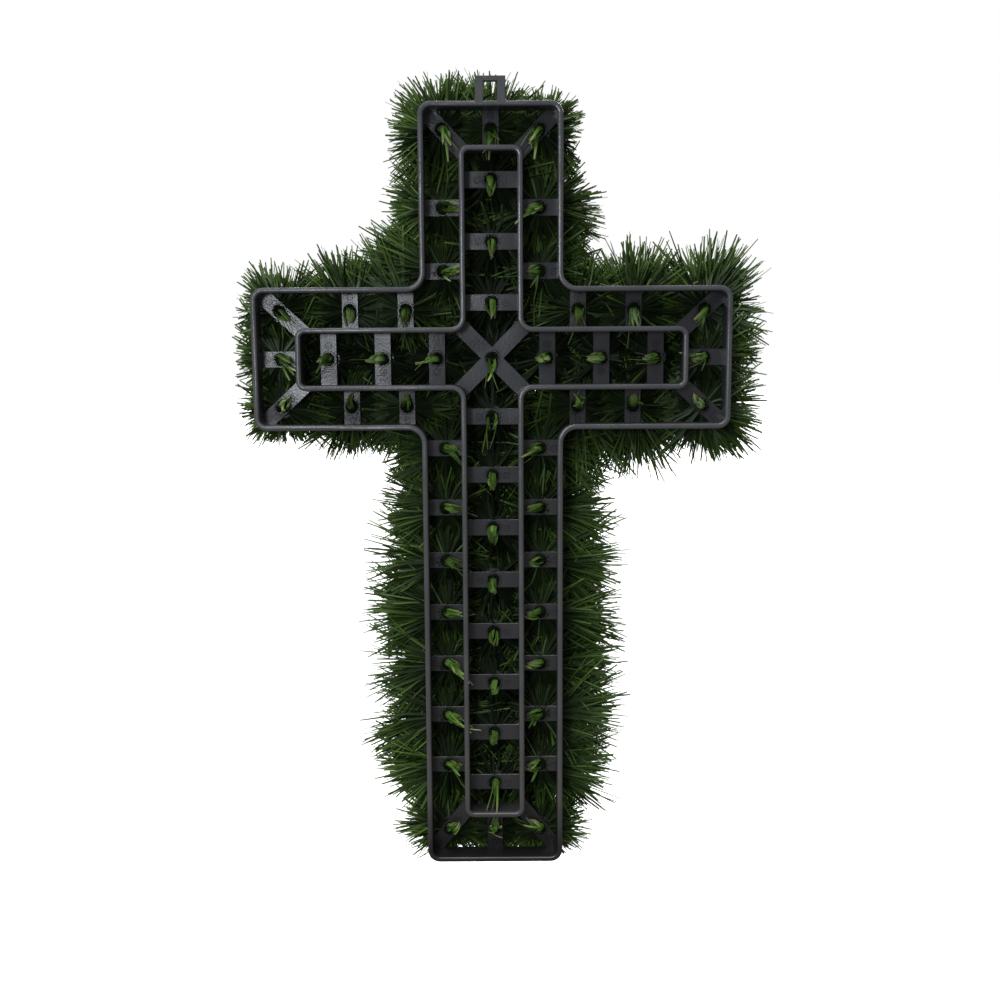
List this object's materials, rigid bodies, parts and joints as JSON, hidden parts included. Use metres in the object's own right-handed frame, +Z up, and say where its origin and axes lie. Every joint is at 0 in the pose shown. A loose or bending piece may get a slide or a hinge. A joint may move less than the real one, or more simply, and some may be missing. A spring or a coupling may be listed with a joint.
{
  "type": "hanging grave cross of artificial pine",
  "caption": "Hanging cross for a grave: an open moulded plastic lattice frame with a hanging eye, covered on its front with tufts of artificial pine needles.",
  "frame": {"origin": "middle of the underside of the bar that closes the hanging eye, where a hook carries the cross", "axes": "+Z up along the shaft towards the hanging eye, -Y out of the frame's open back, +Y towards the needle side, +X to the right seen from the back"},
  "size_m": [0.4101, 0.074, 0.6169],
  "materials": {
    "black_plastic": "satin moulded, charcoal black",
    "pine_needles": "cut film strips, pine green"
  },
  "bodies": {
    "root": {"frame": "black_plastic", "tuft_crossing": "pine_needles", "tuft_head_middle_1": "pine_needles", "tuft_head_middle_2": "pine_needles", "tuft_head_middle_3": "pine_needles", "tuft_head_left_1": "pine_needles", "tuft_head_left_2": "pine_needles", "tuft_head_right_1": "pine_needles", "tuft_head_right_2": "pine_needles", "tuft_head_end": "pine_needles", "tuft_head_corner_left": "pine_needles", "tuft_head_corner_right": "pine_needles", "tuft_left_arm_middle_1": "pine_needles", "tuft_left_arm_middle_2": "pine_needles", "tuft_left_arm_middle_3": "pine_needles", "tuft_left_arm_bottom_1": "pine_needles", "tuft_left_arm_bottom_2": "pine_needles", "tuft_left_arm_top_1": "pine_needles", "tuft_left_arm_top_2": "pine_needles", "tuft_left_arm_end": "pine_needles", "tuft_left_arm_corner_bottom": "pine_needles", "tuft_left_arm_corner_top": "pine_needles", "tuft_right_arm_middle_1": "pine_needles", "tuft_right_arm_middle_2": "pine_needles", "tuft_right_arm_middle_3": "pine_needles", "tuft_right_arm_top_1": "pine_needles", "tuft_right_arm_top_2": "pine_needles", "tuft_right_arm_bottom_1": "pine_needles", "tuft_right_arm_bottom_2": "pine_needles", "tuft_right_arm_end": "pine_needles", "tuft_right_arm_corner_top": "pine_needles", "tuft_right_arm_corner_bottom": "pine_needles", "tuft_shaft_middle_1": "pine_needles", "tuft_shaft_middle_2": "pine_needles", "tuft_shaft_middle_3": "pine_needles", "tuft_shaft_middle_4": "pine_needles", "tuft_shaft_middle_5": "pine_needles", "tuft_shaft_middle_6": "pine_needles", "tuft_shaft_middle_7": "pine_needles", "tuft_shaft_middle_8": "pine_needles", "tuft_shaft_right_1": "pine_needles", "tuft_shaft_right_2": "pine_needles", "tuft_shaft_right_3": "pine_needles", "tuft_shaft_right_4": "pine_needles", "tuft_shaft_right_5": "pine_needles", "tuft_shaft_right_6": "pine_needles", "tuft_shaft_right_7": "pine_needles", "tuft_shaft_left_1": "pine_needles", "tuft_shaft_left_2": "pine_needles", "tuft_shaft_left_3": "pine_needles", "tuft_shaft_left_4": "pine_needles", "tuft_shaft_left_5": "pine_needles", "tuft_shaft_left_6": "pine_needles", "tuft_shaft_left_7": "pine_needles", "tuft_shaft_end": "pine_needles", "tuft_shaft_corner_right": "pine_needles", "tuft_shaft_corner_left": "pine_needles"}
  },
  "joints": []
}
